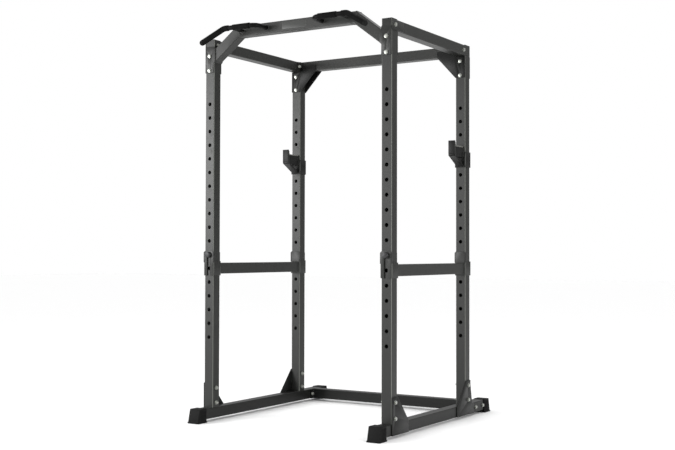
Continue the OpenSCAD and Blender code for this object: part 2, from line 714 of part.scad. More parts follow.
base_rail_left();
base_rail_right();
base_crossbar();
post_front_left();
post_front_right();
post_rear_left();
post_rear_right();
base_gusset_front_left();
base_gusset_front_right();
base_gusset_rear_left();
base_gusset_rear_right();
top_rail_left();
top_rail_right();
top_rail_plates();
top_crossbar();
rear_bracket_left();
rear_bracket_right();
chin_bar();
chin_leg_left();
chin_leg_right();
chin_plates_left();
chin_plates_right();
handle_left();
handle_right();
grips_left();
grips_right();
grip_caps();
badge_plate();
foot_front_left();
foot_front_right();
foot_rear_left();
foot_rear_right();
post_caps();
top_rail_caps();
base_bolts();
crossbar_bolts();
top_rail_bolts();
bracket_bolts();
lock_nuts();
washers();
spotter_bar_left();
spotter_bar_right();
spotter_collar_front_left();
spotter_collar_front_right();
spotter_collar_rear_left();
spotter_collar_rear_right();
spotter_pin_front_left();
spotter_pin_front_right();
spotter_pin_rear_left();
spotter_pin_rear_right();
hook_bracket_left();
hook_bracket_right();
hook_lip_left();
hook_lip_right();
hook_liner_left();
hook_liner_right();
hook_pin_left();
hook_pin_right();
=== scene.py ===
"""Looks of a power cage: powder coat, rubber boots, foam grips, zinc fasteners, weld beads and the studio."""

import math

import bpy
from mathutils import Matrix, Vector


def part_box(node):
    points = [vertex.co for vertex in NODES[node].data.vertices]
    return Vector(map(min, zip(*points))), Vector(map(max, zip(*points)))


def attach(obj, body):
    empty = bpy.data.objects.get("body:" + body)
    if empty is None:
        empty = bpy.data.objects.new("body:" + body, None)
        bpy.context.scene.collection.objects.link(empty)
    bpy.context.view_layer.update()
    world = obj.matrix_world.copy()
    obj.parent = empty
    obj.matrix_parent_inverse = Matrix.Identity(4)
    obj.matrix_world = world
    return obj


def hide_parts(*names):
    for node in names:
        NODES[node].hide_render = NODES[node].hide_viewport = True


bl_info = {
    "name": "Power cage looks",
    "version": (1, 0, 0),
    "blender": (4, 5, 0),
    "location": "View3D > Sidebar > Power cage",
    "description": "Finishes the steel, rubber and fasteners of a power cage and sets up its studio",
    "category": "Object",
}

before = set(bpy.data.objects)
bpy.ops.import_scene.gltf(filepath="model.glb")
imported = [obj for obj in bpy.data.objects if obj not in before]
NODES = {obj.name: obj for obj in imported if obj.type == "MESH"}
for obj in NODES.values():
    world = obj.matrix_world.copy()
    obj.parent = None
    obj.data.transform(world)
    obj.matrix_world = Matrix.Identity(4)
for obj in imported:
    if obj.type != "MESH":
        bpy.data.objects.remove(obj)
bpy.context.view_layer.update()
MM = 0.001
SIDES = ("left", "right")
ENDS = ("front", "rear")
FRAME_BODY = "frame"

SOFT_EDGED = {
    FRAME_BODY: [f"base_gusset_{end}_{side}" for end in ENDS for side in SIDES]
    + [f"rear_bracket_{side}" for side in SIDES]
    + [f"chin_plates_{side}" for side in SIDES]
    + ["top_rail_plates"],
    "spotter_left": [f"spotter_collar_{end}_left" for end in ENDS],
    "spotter_right": [f"spotter_collar_{end}_right" for end in ENDS],
}
BOLT_NODES = ("base_bolts", "crossbar_bolts", "top_rail_bolts", "bracket_bolts")
TUBE_NODES = (
    ["base_crossbar", "top_crossbar", "chin_bar"]
    + [f"{kind}_{side}" for kind in ("base_rail", "top_rail", "chin_leg", "spotter_bar") for side in SIDES]
    + [f"post_{end}_{side}" for end in ENDS for side in SIDES]
)

# The base pieces take a darker copy of the frame's coat, a painted shade.
COATS = {"chin_leg": "sloping_coat", "base_": "base_coat", "rear_bracket": "bracket_coat"}


# ---------- settings ----------
class CageSizes(bpy.types.PropertyGroup):
    """Sizes of the finishing work."""

    plate_edge: bpy.props.FloatProperty(
        name="Plate edge", description="Radius of the deburred edges of the plates",
        default=0.8 * MM, min=0, subtype="DISTANCE", unit="LENGTH")
    cap_edge: bpy.props.FloatProperty(
        name="Cap edge", description="Radius of the edges of the plastic caps",
        default=1.2 * MM, min=0, subtype="DISTANCE", unit="LENGTH")
    boot_edge: bpy.props.FloatProperty(
        name="Boot edge", description="Radius of the moulded edges of the rubber boots",
        default=2.5 * MM, min=0, subtype="DISTANCE", unit="LENGTH")
    sole_lip: bpy.props.FloatProperty(
        name="Sole lip", description="How far a boot's sole stands out on each side",
        default=4 * MM, min=0, subtype="DISTANCE", unit="LENGTH")
    boot_rib: bpy.props.FloatProperty(
        name="Boot rib", description="How far the moulded ribs stand out of a boot",
        default=1.4 * MM, min=0, subtype="DISTANCE", unit="LENGTH")
    bead: bpy.props.FloatProperty(
        name="Weld bead", description="Radius of the weld beads",
        default=2.6 * MM, min=0, subtype="DISTANCE", unit="LENGTH")
    bead_step: bpy.props.FloatProperty(
        name="Weld ripple", description="Distance between the ripples of a weld bead",
        default=1.9 * MM, min=0.5 * MM, subtype="DISTANCE", unit="LENGTH")
    bead_corner: bpy.props.FloatProperty(
        name="Bead corner", description="Corner radius of a weld bead round a frame tube",
        default=4 * MM, min=0, subtype="DISTANCE", unit="LENGTH")
    flange: bpy.props.FloatProperty(
        name="Flange", description="Thickness of the crossbars' end flanges",
        default=5 * MM, min=0, subtype="DISTANCE", unit="LENGTH")
    handle_radius: bpy.props.FloatProperty(
        name="Handle radius", description="Radius of the bent handle rod",
        default=12.5 * MM, min=0, subtype="DISTANCE", unit="LENGTH")
    thread_pitch: bpy.props.FloatProperty(
        name="Thread pitch", description="Pitch of the bolts' threads",
        default=1.5 * MM, min=0.5 * MM, subtype="DISTANCE", unit="LENGTH")
    arm_height: bpy.props.FloatProperty(
        name="Hook arm height", description="Height of the square tube of a hook's arm",
        default=56 * MM, min=0, subtype="DISTANCE", unit="LENGTH")
    tube: bpy.props.FloatProperty(
        name="Frame tube", description="Side of the square frame tube",
        default=58 * MM, min=0, subtype="DISTANCE", unit="LENGTH")


class CageColours(bpy.types.PropertyGroup):
    """Colours of the finishes."""

    coat: bpy.props.FloatVectorProperty(
        name="Powder coat", description="Charcoal powder coat of the frame",
        default=(0.0105, 0.0110, 0.0098), min=0, max=1, subtype="COLOR")
    # Painted shade: a darker copy of the frame's coat for the pieces at the floor.
    coat_shaded_base: bpy.props.FloatVectorProperty(
        name="Base powder coat", description="Powder coat of the base rails, crossbar and gussets",
        default=(0.0050, 0.0053, 0.0048), min=0, max=1, subtype="COLOR")
    coat_dark: bpy.props.FloatVectorProperty(
        name="Dark powder coat", description="Powder coat of the hooks and rear brackets",
        default=(0.0042, 0.0044, 0.0041), min=0, max=1, subtype="COLOR")
    paint: bpy.props.FloatVectorProperty(
        name="Handle paint", description="Black paint of the bent handles",
        default=(0.0022, 0.0022, 0.0022), min=0, max=1, subtype="COLOR")
    rubber: bpy.props.FloatVectorProperty(
        name="Rubber", description="Black rubber of the boots and grips",
        default=(0.0024, 0.0024, 0.0024), min=0, max=1, subtype="COLOR")
    plastic: bpy.props.FloatVectorProperty(
        name="Cap plastic", description="Black plastic of the caps",
        default=(0.004, 0.004, 0.004), min=0, max=1, subtype="COLOR")
    liner: bpy.props.FloatVectorProperty(
        name="Hook liner", description="Grey plastic of the hook liners",
        default=(0.11, 0.11, 0.10), min=0, max=1, subtype="COLOR")
    zinc: bpy.props.FloatVectorProperty(
        name="Zinc", description="Bright zinc of the bolts, nuts and washers",
        default=(0.42, 0.43, 0.42), min=0, max=1, subtype="COLOR")
    oxide: bpy.props.FloatVectorProperty(
        name="Black oxide", description="Black oxide steel of the pins",
        default=(0.035, 0.035, 0.036), min=0, max=1, subtype="COLOR")
    badge: bpy.props.FloatVectorProperty(
        name="Badge", description="Light grey of the blank badge",
        default=(0.032, 0.033, 0.031), min=0, max=1, subtype="COLOR")


class CageStudio(bpy.types.PropertyGroup):
    """Camera, floor and lights."""

    camera_place: bpy.props.FloatVectorProperty(
        name="Camera place", description="Where the camera stands",
        default=(3.2334, -5.3133, 0.9221), subtype="TRANSLATION", unit="LENGTH")
    yaw: bpy.props.FloatProperty(
        name="Yaw", description="How far the camera is turned to the left of straight ahead",
        default=0.553088, subtype="ANGLE", unit="ROTATION")
    pitch: bpy.props.FloatProperty(
        name="Pitch", description="How far the camera looks up",
        default=0.024288, subtype="ANGLE", unit="ROTATION")
    roll: bpy.props.FloatProperty(
        name="Roll", description="How far the camera is tilted to one side",
        default=0.002179, subtype="ANGLE", unit="ROTATION")
    lens: bpy.props.FloatProperty(
        name="Lens", description="Focal length on a 36 mm sensor",
        default=59.17, min=1, subtype="DISTANCE_CAMERA")
    floor: bpy.props.FloatVectorProperty(
        name="Floor", description="Colour of the pale floor",
        default=(0.94, 0.94, 0.94), min=0, max=1, subtype="COLOR")
    overhead: bpy.props.FloatProperty(
        name="Overhead", description="Brightness of the white ceiling", default=1.16, min=0)
    horizon: bpy.props.FloatProperty(
        name="Horizon", description="Brightness of the dim walls round the studio", default=0.28, min=0)
    key: bpy.props.FloatProperty(
        name="Left softbox", description="Power of the softbox at the front left",
        default=130, min=0, subtype="POWER", unit="POWER")
    fill: bpy.props.FloatProperty(
        name="Front softbox", description="Power of the softbox at the front",
        default=26, min=0, subtype="POWER", unit="POWER")
    rim: bpy.props.FloatProperty(
        name="Right softbox", description="Power of the softbox at the right",
        default=110, min=0, subtype="POWER", unit="POWER")


# ---------- shader maths ----------
class Value:
    """A socket that adds Math nodes when it stands in an expression."""

    def __init__(self, surface, socket):
        self.surface = surface
        self.socket = socket

    def __add__(self, other):
        return self.surface.maths("ADD", self, other)

    def __sub__(self, other):
        return self.surface.maths("SUBTRACT", self, other)

    def __rsub__(self, other):
        return self.surface.maths("SUBTRACT", other, self)

    def __mul__(self, other):
        return self.surface.maths("MULTIPLY", self, other)

    def over(self, low, high):
        """0 at low, 1 at high, and smooth between."""
        node = self.surface.node(
            "ShaderNodeMapRange", {"interpolation_type": "SMOOTHSTEP", "clamp": True},
            {"Value": self, "From Min": low, "From Max": high})
        return Value(self.surface, node.outputs["Result"])

    __radd__ = __add__
    __rmul__ = __mul__


class NodeMaker:
    """Adds nodes to a tree."""

    def __init__(self, tree):
        self.tree = tree

    def node(self, kind, settings=None, inputs=None):
        made = self.tree.nodes.new(kind)
        for name, value in (settings or {}).items():
            setattr(made, name, value)
        for name, value in (inputs or {}).items():
            self.feed(made.inputs[name], value)
        return made

    def feed(self, socket, value):
        if isinstance(value, Value):
            value = value.socket
        if isinstance(value, bpy.types.NodeSocket):
            self.tree.links.new(value, socket)
        else:
            socket.default_value = value

    def maths(self, operation, first, second):
        made = self.node("ShaderNodeMath", {"operation": operation}, {0: first, 1: second})
        return Value(self, made.outputs[0])


class Surface(NodeMaker):
    """A material with one Principled shader, built node by node."""

    def __init__(self, name):
        self.material = bpy.data.materials.new(name)
        self.material.use_nodes = True
        super().__init__(self.material.node_tree)
        self.tree.nodes.clear()
        self.shader = self.node("ShaderNodeBsdfPrincipled")
        output = self.node("ShaderNodeOutputMaterial")
        self.tree.links.new(self.shader.outputs["BSDF"], output.inputs["Surface"])
        self.place = self.node("ShaderNodeTexCoord").outputs["Object"]

    def noise(self, scale, detail=2.0, roughness=0.5, stretch=(1, 1, 1)):
        place = self.node("ShaderNodeMapping", None, {"Vector": self.place, "Scale": stretch}).outputs[0]
        made = self.node("ShaderNodeTexNoise", None, {
            "Vector": place, "Scale": scale, "Detail": detail, "Roughness": roughness})
        return Value(self, made.outputs["Fac"])

    def cells(self, scale):
        made = self.node("ShaderNodeTexVoronoi", None, {"Vector": self.place, "Scale": scale})
        return Value(self, made.outputs["Distance"])

    def edges(self, radius):
        """1 on edges and 0 on flat stretches; the edges are lightened as wear, and on the powder coat also as
        a painted highlight.
        """
        rounded = self.node("ShaderNodeBevel", {"samples": 4}, {"Radius": radius}).outputs["Normal"]
        true = self.node("ShaderNodeNewGeometry").outputs["Normal"]
        turned = self.node("ShaderNodeVectorMath", {"operation": "DOT_PRODUCT"}, {0: rounded, 1: true})
        return (1 - Value(self, turned.outputs["Value"])).over(0.02, 0.25)

    def corners(self):
        """1 on the rounded corners of upright tubes and plates, where the painted highlight line goes, and 0
        on their flats.
        """
        facing = self.node("ShaderNodeTexCoord").outputs["Normal"]
        size = self.node("ShaderNodeVectorMath", {"operation": "ABSOLUTE"}, {0: facing}).outputs[0]
        parts = self.node("ShaderNodeSeparateXYZ", None, {0: size}).outputs
        widest = self.maths("MAXIMUM", parts["X"], parts["Y"])
        return (1 - widest).over(0.03, 0.16) * (1 - Value(self, parts["Z"]).over(0.05, 0.25))

    def blend(self, mask, first, second):
        made = self.node("ShaderNodeMix", {"data_type": "RGBA"})
        self.feed(made.inputs["Factor"], mask)
        for name, value in (("A", first), ("B", second)):
            socket = next(s for s in made.inputs if s.name == name and s.type == "RGBA")
            self.feed(socket, (*value, 1.0) if isinstance(value, tuple) else value)
        return next(s for s in made.outputs if s.type == "RGBA")

    def bump(self, height, distance, strength=1.0):
        made = self.node("ShaderNodeBump", None, {
            "Height": height, "Distance": distance, "Strength": strength})
        self.feed(self.shader.inputs["Normal"], made.outputs[0])

    def set(self, **values):
        for name, value in values.items():
            self.feed(self.shader.inputs[name.replace("_", " ").title().replace("Ior", "IOR")], value)


def shade(colour, factor):
    return tuple(min(1.0, channel * factor) for channel in colour)


# How many times brighter the painted highlight line on upright corners makes the coat.
CORNER_HIGHLIGHT_GAIN = 17.0
# Gloss and painted corner highlight strength of the dark coat and of the base's darker coat.
DARK_GLOSS, DARK_CORNER_HIGHLIGHT = 0.18, 0.5
BASE_GLOSS, BASE_CORNER_HIGHLIGHT = 0.24, 0.6


def powder_coat(name, colour, gloss=0.36, corner_highlight=0.75):
    """Satin powder coat with a fine orange peel, faint cloudiness, lighter edges that are partly wear and
    partly a painted highlight, and a painted highlight line on upright corners.
    """
    s = Surface(name)
    cloud = s.noise(5, 3)
    speckle = s.noise(900, 1)
    peel = s.noise(620, 2)
    handled = s.noise(22, 4, 0.6).over(0.56, 0.78)
    # Lighter, slightly smoother edges: partly wear, partly a painted edge highlight.
    wear_and_edge_highlight = s.edges(1.4 * MM) * s.noise(60, 3).over(0.35, 0.6)
    base = s.blend(cloud, shade(colour, 0.86), shade(colour, 1.16))
    base = s.blend(speckle.over(0.6, 0.75) * 0.35, base, shade(colour, 1.9))
    base = s.blend(wear_and_edge_highlight * 0.55, base, shade(colour, 3.2))
    # Painted highlight: upright corners get a base colour many times brighter, in place of the lamps'
    # reflection on the rounded corners.
    base = s.blend(s.corners() * corner_highlight, base, shade(colour, CORNER_HIGHLIGHT_GAIN))
    s.set(base_color=base, roughness=0.36 + peel * 0.10 + handled * 0.07 - wear_and_edge_highlight * 0.08,
          specular_ior_level=gloss)
    s.bump(peel + speckle * 0.4, 0.12 * MM, 0.55)
    return s.material


def dark_coat(name, colour):
    """The flatter powder coat of the hooks and rear brackets."""
    return powder_coat(name, colour, DARK_GLOSS, DARK_CORNER_HIGHLIGHT)


def shaded_coat(name, colour):
    """The frame's powder coat made darker for the base rails, crossbar and gussets: painted shade."""
    return powder_coat(name, colour, BASE_GLOSS, BASE_CORNER_HIGHLIGHT)


def sloping_coat(name, colour):
    """The frame's powder coat for pieces that don't run along the axes."""
    return powder_coat(name, colour, corner_highlight=0.0)


def gloss_paint(name, colour):
    """Sprayed black paint on bent rod, with small runs and a rubbed sheen."""
    s = Surface(name)
    runs = s.noise(40, 3, 0.5, (1, 1, 0.3))
    fine = s.noise(700, 2)
    wear_and_edge_highlight = s.edges(1.0 * MM)
    base = s.blend(s.noise(9), shade(colour, 0.8), shade(colour, 1.3))
    s.set(base_color=s.blend(wear_and_edge_highlight * 0.4, base, shade(colour, 4.0)), roughness=0.38 + runs * 0.16,
          specular_ior_level=0.07)
    s.bump(runs * 0.5 + fine * 0.5, 0.12 * MM, 0.5)
    return s.material


def moulded_rubber(name, colour):
    """Moulded rubber with a fine grain, dusty in places and scuffed along its edges."""
    s = Surface(name)
    grain = s.cells(900)
    dust = s.noise(30, 5, 0.65).over(0.48, 0.75)
    scuff = s.edges(2.0 * MM) * s.noise(120, 3).over(0.4, 0.65)
    base = s.blend(s.noise(12, 3), shade(colour, 0.75), shade(colour, 1.4))
    base = s.blend(dust * 0.3, base, shade(colour, 3.5))
    base = s.blend(scuff * 0.4, base, shade(colour, 5.0))
    s.set(base_color=base, roughness=0.66 + dust * 0.16, specular_ior_level=0.15)
    s.bump(grain + s.noise(300, 3) * 0.6, 0.22 * MM, 0.6)
    return s.material


def foam_rubber(name, colour):
    """Closed-cell foam rubber of the grips, with open pores and a matt, slightly greasy skin."""
    s = Surface(name)
    pores = s.cells(1500)
    skin = s.noise(800, 3, 0.6)
    polished = s.noise(26, 3).over(0.45, 0.7)
    base = s.blend(pores.over(0.0, 0.5), shade(colour, 0.5), shade(colour, 1.3))
    s.set(base_color=base, roughness=0.74 - polished * 0.16, specular_ior_level=0.07)
    s.bump(pores + skin * 0.7, 0.3 * MM, 0.7)
    return s.material


def grained_plastic(name, colour):
    """Injection-moulded plastic with spark-eroded grain and polished edges."""
    s = Surface(name)
    grain = s.cells(1200)
    flow = s.noise(14, 3)
    base = s.blend(flow, shade(colour, 0.85), shade(colour, 1.2))
    base = s.blend(s.edges(0.8 * MM) * 0.35, base, shade(colour, 2.2))
    s.set(base_color=base, roughness=0.46 + grain * 0.14, specular_ior_level=0.35)
    s.bump(grain, 0.08 * MM, 0.5)
    return s.material


def zinc_plate(name, colour):
    """Bright zinc plating with a faint blue and straw cast and fine handling marks."""
    s = Surface(name)
    cast = s.noise(120, 2)
    marks = s.noise(1600, 3, 0.6, (1, 1, 0.25))
    dull = s.noise(260, 3).over(0.5, 0.75)
    straw = (colour[0], colour[1] * 0.96, colour[2] * 0.84)
    blue = (colour[0] * 0.93, colour[1] * 0.98, colour[2])
    base = s.blend(cast, straw, blue)
    s.set(base_color=s.blend(dull * 0.4, base, shade(colour, 0.7)), metallic=1.0,
          roughness=0.24 + marks * 0.16 + dull * 0.12)
    s.bump(marks, 0.05 * MM, 0.4)
    return s.material


def black_oxide(name, colour):
    """Oil-blackened steel, rubbed to bare metal where the pins slide."""
    s = Surface(name)
    turned = s.noise(900, 2, 0.5, (0.2, 1, 1))
    rubbed = s.noise(70, 4, 0.6).over(0.52, 0.72)
    bright = s.edges(0.8 * MM)
    base = s.blend(rubbed * 0.45, shade(colour, 0.9), shade(colour, 3.0))
    s.set(base_color=s.blend(bright * 0.5, base, shade(colour, 5.0)), metallic=0.85,
          roughness=0.34 + turned * 0.16)
    s.bump(turned, 0.06 * MM, 0.4)
    return s.material


def weld_metal(name, colour):
    """A weld bead under the powder coat: softer ripples and a few specks of spatter."""
    s = Surface(name)
    spatter = s.noise(500, 3, 0.7)
    base = s.blend(spatter, shade(colour, 0.8), shade(colour, 1.5))
    s.set(base_color=base, roughness=0.36 + spatter * 0.14, specular_ior_level=0.4)
    s.bump(spatter, 0.25 * MM, 0.6)
    return s.material


MATERIALS = {}


def finish(name):
    """The finished material of that name, made once."""
    if name not in MATERIALS:
        c = bpy.context.scene.cage_colours
        makers = {
            "frame_coat": (powder_coat, c.coat), "sloping_coat": (sloping_coat, c.coat),
            "base_coat": (shaded_coat, c.coat_shaded_base), "bracket_coat": (dark_coat, c.coat_dark),
            "handle_gloss": (gloss_paint, c.paint), "boot_rubber": (moulded_rubber, c.rubber),
            "grip_foam": (foam_rubber, c.rubber), "cap_grain": (grained_plastic, c.plastic),
            "liner_grain": (grained_plastic, c.liner), "zinc": (zinc_plate, c.zinc),
            "pin_oxide": (black_oxide, c.oxide), "badge_coat": (powder_coat, c.badge),
            "weld_coat": (weld_metal, c.coat),
        }
        maker, colour = makers[name]
        MATERIALS[name] = maker(name, tuple(colour))
    return MATERIALS[name]


# ---------- modelling helpers ----------
def paint(piece, name):
    piece.data.materials.clear()
    piece.data.materials.append(finish(name))


def only(piece):
    """Selects one object and makes it active."""
    bpy.ops.object.select_all(action="DESELECT")
    piece.select_set(True)
    bpy.context.view_layer.objects.active = piece


def apply_all(piece):
    only(piece)
    bpy.ops.object.transform_apply(location=True, rotation=True, scale=True)


def join(pieces, name):
    """One object out of several, at the origin."""
    bpy.ops.object.select_all(action="DESELECT")
    for piece in pieces:
        piece.select_set(True)
    bpy.context.view_layer.objects.active = pieces[0]
    if len(pieces) > 1:
        bpy.ops.object.join()
    made = bpy.context.view_layer.objects.active
    made.name = name
    apply_all(made)
    return made


def settle(piece, body, slot, material, *replaced):
    """Gives a finished piece its material and its body, and hides the nodes it replaces; the slot is not
    used.
    """
    paint(piece, material)
    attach(piece, body)
    if replaced:
        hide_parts(*replaced)
    return piece


def merged_copy(node, name):
    """A copy of a CAD node's mesh with its loose triangles merged into clean faces."""
    piece = bpy.data.objects.new(name, NODES[node].data.copy())
    bpy.context.scene.collection.objects.link(piece)
    only(piece)
    bpy.ops.object.mode_set(mode="EDIT")
    bpy.ops.mesh.select_all(action="SELECT")
    bpy.ops.mesh.remove_doubles(threshold=1e-6)
    bpy.ops.mesh.dissolve_limited(angle_limit=math.radians(0.5))
    bpy.ops.object.mode_set(mode="OBJECT")
    return piece


def modify(piece, kind, **settings):
    """Adds a modifier and applies it."""
    only(piece)
    made = piece.modifiers.new(kind.lower(), kind)
    for name, value in settings.items():
        setattr(made, name, value)
    bpy.ops.object.modifier_apply(modifier=made.name)


def soften(piece, width, segments=2, angle=35):
    """Rounds the sharp edges of a piece."""
    modify(piece, "BEVEL", width=width, segments=segments, limit_method="ANGLE",
           angle_limit=math.radians(angle), use_clamp_overlap=True)
    only(piece)
    bpy.ops.object.shade_smooth_by_angle(angle=math.radians(40))


def soft_node(node, body, slot, material, width, segments=2):
    """Replaces a CAD node by a copy of itself with rounded edges."""
    piece = merged_copy(node, f"{node}_finished")
    soften(piece, width, segments)
    return settle(piece, body, slot, material, node)


def loose_boxes(node):
    """The boxes of a node's separate solids, as (lowest corner, highest corner), and their vertices."""
    piece = merged_copy(node, f"{node}_count")
    bpy.ops.object.mode_set(mode="EDIT")
    bpy.ops.mesh.select_all(action="SELECT")
    bpy.ops.mesh.separate(type="LOOSE")
    bpy.ops.object.mode_set(mode="OBJECT")
    found = []
    for part in list(bpy.context.selected_objects):
        points = [v.co.copy() for v in part.data.vertices]
        low = Vector(map(min, *points))
        high = Vector(map(max, *points))
        found.append((low, high, points))
        bpy.data.objects.remove(part)
    return sorted(found, key=lambda f: tuple(round(x, 4) for x in f[0]))


def turn_to(axis):
    """The rotation that takes +Z to an axis."""
    return Vector((0, 0, 1)).rotation_difference(Vector(axis)).to_matrix().to_4x4()


def place_copy(piece, matrix):
    """A copy of a piece, with its own mesh, moved by a matrix."""
    made = bpy.data.objects.new(piece.name, piece.data.copy())
    made.data.transform(matrix)
    bpy.context.scene.collection.objects.link(made)
    return made


def cylinder(radius, depth, z, sides=32):
    """A cylinder on the Z axis whose foot is at z."""
    bpy.ops.object.select_all(action="DESELECT")
    bpy.ops.mesh.primitive_cylinder_add(
        vertices=sides, radius=radius, depth=depth, location=(0, 0, z + depth / 2))
    made = bpy.context.view_layer.objects.active
    apply_all(made)
    return made


def block(low, high):
    """A box between two corners."""
    bpy.ops.object.select_all(action="DESELECT")
    bpy.ops.mesh.primitive_cube_add(size=1, location=(Vector(low) + Vector(high)) / 2)
    made = bpy.context.view_layer.objects.active
    made.scale = Vector(high) - Vector(low)
    apply_all(made)
    return made


# ---------- fasteners ----------
CHAMFER_RISE = 0.16
CROWN_RISE = 0.05
DOME_RISE = 1 + CHAMFER_RISE + CROWN_RISE
THREAD_TURNS = 7
SAME_PLACE = 1e-5
CLEAR_OF_SHANK = 6.5 * MM


def model_bolt(across, head, shank, length, pitch):
    """A bolt with a domed hexagon head standing on z = 0 and a shank, threaded at its tail, pointing down."""
    hexagon = cylinder(across / math.sqrt(3), head, 0, sides=6)
    only(hexagon)
    bpy.ops.object.mode_set(mode="EDIT")
    bpy.ops.mesh.select_all(action="DESELECT")
    bpy.ops.object.mode_set(mode="OBJECT")
    for face in hexagon.data.polygons:
        face.select = face.normal.z > 0.9
    bpy.ops.object.mode_set(mode="EDIT")
    bpy.ops.mesh.inset(thickness=across * 0.09, depth=0)
    bpy.ops.transform.translate(value=(0, 0, head * CHAMFER_RISE))
    bpy.ops.mesh.inset(thickness=across * 0.17, depth=0)
    bpy.ops.transform.translate(value=(0, 0, head * CROWN_RISE))
    bpy.ops.object.mode_set(mode="OBJECT")
    for vertex in hexagon.data.vertices:
        vertex.co.z = min(vertex.co.z, head * DOME_RISE) / DOME_RISE
    soften(hexagon, across * 0.02, 2, 12)
    collar = cylinder(across * 0.52, head * 0.14, 0, sides=40)
    soften(collar, head * 0.04)
    body = cylinder(shank, length, -length, sides=28)
    soften(body, shank * 0.18)
    rings = []
    for turn in range(THREAD_TURNS):
        bpy.ops.object.select_all(action="DESELECT")
        bpy.ops.mesh.primitive_torus_add(
            location=(0, 0, -length + pitch * (0.6 + turn)), major_radius=shank - pitch * 0.22,
            minor_radius=pitch * 0.32, major_segments=28, minor_segments=6)
        rings.append(bpy.context.view_layer.objects.active)
    return join([hexagon, collar, body] + rings, "bolt_pattern")


def model_nut(across, height, shank):
    """A lock nut that stands on z = 0, with a nylon collar on top."""
    hexagon = cylinder(across / math.sqrt(3), height * 0.78, 0, sides=6)
    soften(hexagon, across * 0.035, 2)
    dome = cylinder(across * 0.46, height * 0.22, height * 0.78, sides=36)
    soften(dome, height * 0.12, 3)
    ring = cylinder(shank * 1.25, height * 0.03, height * 0.97, sides=24)
    return join([hexagon, dome, ring], "nut_pattern")


def fit_bolt(low, high, points, pitch):
    """A bolt in the place of a CAD bolt, with its width across flats and its shank's radius."""
    size = high - low
    middle = (low + high) / 2
    axis = max(range(3), key=lambda i: size[i])
    side = (axis + 1) % 3

    def width_at(place):
        return max(abs(p[side] - middle[side]) for p in points if abs(p[axis] - place) < SAME_PLACE)

    head_end = max((low[axis], high[axis]), key=width_at)
    out = 1 if head_end == high[axis] else -1
    ring = [p[axis] for p in points if abs(p[side] - middle[side]) > CLEAR_OF_SHANK]
    head = max(ring) - min(ring)
    across = min(size[side], size[(axis + 2) % 3])
    shank = width_at((low if out > 0 else high)[axis])
    middle[axis] = head_end - out * head
    bolt = model_bolt(across, head, shank, size[axis] - head, pitch)
    bolt.data.transform(Matrix.Translation(middle) @ along(axis, out))
    return bolt, across, shank


def along(axis, out):
    """The rotation that takes +Z to an axis by number, in the direction of a sign."""
    way = Vector((0, 0, 0))
    way[axis] = out
    return turn_to(way)


class CAGE_OT_fasteners(bpy.types.Operator):
    """Bolts with chamfered heads and threads, lock nuts and rounded washers"""

    bl_idname = "cage.fasteners"
    bl_label = "Fasteners"

    def execute(self, context):
        pitch = context.scene.cage_sizes.thread_pitch
        first = None
        for node in BOLT_NODES:
            made = []
            for low, high, points in loose_boxes(node):
                bolt, *measures = fit_bolt(low, high, points, pitch)
                first = first or measures
                made.append(bolt)
            settle(join(made, f"{node}_finished"), FRAME_BODY, "zinc_fasteners", "zinc", node)
        across, shank = first
        nuts = []
        pattern = None
        for low, high, _ in loose_boxes("lock_nuts"):
            size = high - low
            axis = min(range(3), key=lambda i: size[i])
            foot = (low + high) / 2
            out = 1 if axis == 1 or foot.x <= 0 else -1
            foot[axis] = (low if out > 0 else high)[axis]
            pattern = pattern or model_nut(across, size[axis], shank)
            nuts.append(place_copy(pattern, Matrix.Translation(foot) @ along(axis, out)))
        bpy.data.objects.remove(pattern)
        settle(join(nuts, "lock_nuts_finished"), FRAME_BODY, "zinc_fasteners", "zinc", "lock_nuts")
        soft_node("washers", FRAME_BODY, "zinc_fasteners", "zinc", 0.3 * MM)
        return {"FINISHED"}


# ---------- frame ----------
def coat_of(node):
    """The finish of a tube or plate, by the start of its name."""
    for start, coat in COATS.items():
        if node.startswith(start):
            return coat
    return "frame_coat"


class CAGE_OT_tubes(bpy.types.Operator):
    """Powder coat on every square tube"""

    bl_idname = "cage.tubes"
    bl_label = "Frame tubes"

    def execute(self, context):
        for node in TUBE_NODES:
            paint(NODES[node], coat_of(node))
        return {"FINISHED"}


class CAGE_OT_plates(bpy.types.Operator):
    """Plates and collars with deburred edges, and the blank badge"""

    bl_idname = "cage.plates"
    bl_label = "Plates and collars"

    def execute(self, context):
        edge = context.scene.cage_sizes.plate_edge
        for body, nodes in SOFT_EDGED.items():
            for node in nodes:
                dark = node.startswith("rear_bracket")
                soft_node(node, body, "bracket_paint" if dark else "frame_paint", coat_of(node), edge)
        soft_node("badge_plate", FRAME_BODY, "badge_plate", "badge_coat", 0.4 * MM, 3)
        return {"FINISHED"}


class CAGE_OT_caps(bpy.types.Operator):
    """Plastic end caps with moulded edges"""

    bl_idname = "cage.caps"
    bl_label = "End caps"

    def execute(self, context):
        for node in ("post_caps", "top_rail_caps"):
            soft_node(node, FRAME_BODY, "cap_plastic", "cap_grain", context.scene.cage_sizes.cap_edge, 3)
        return {"FINISHED"}


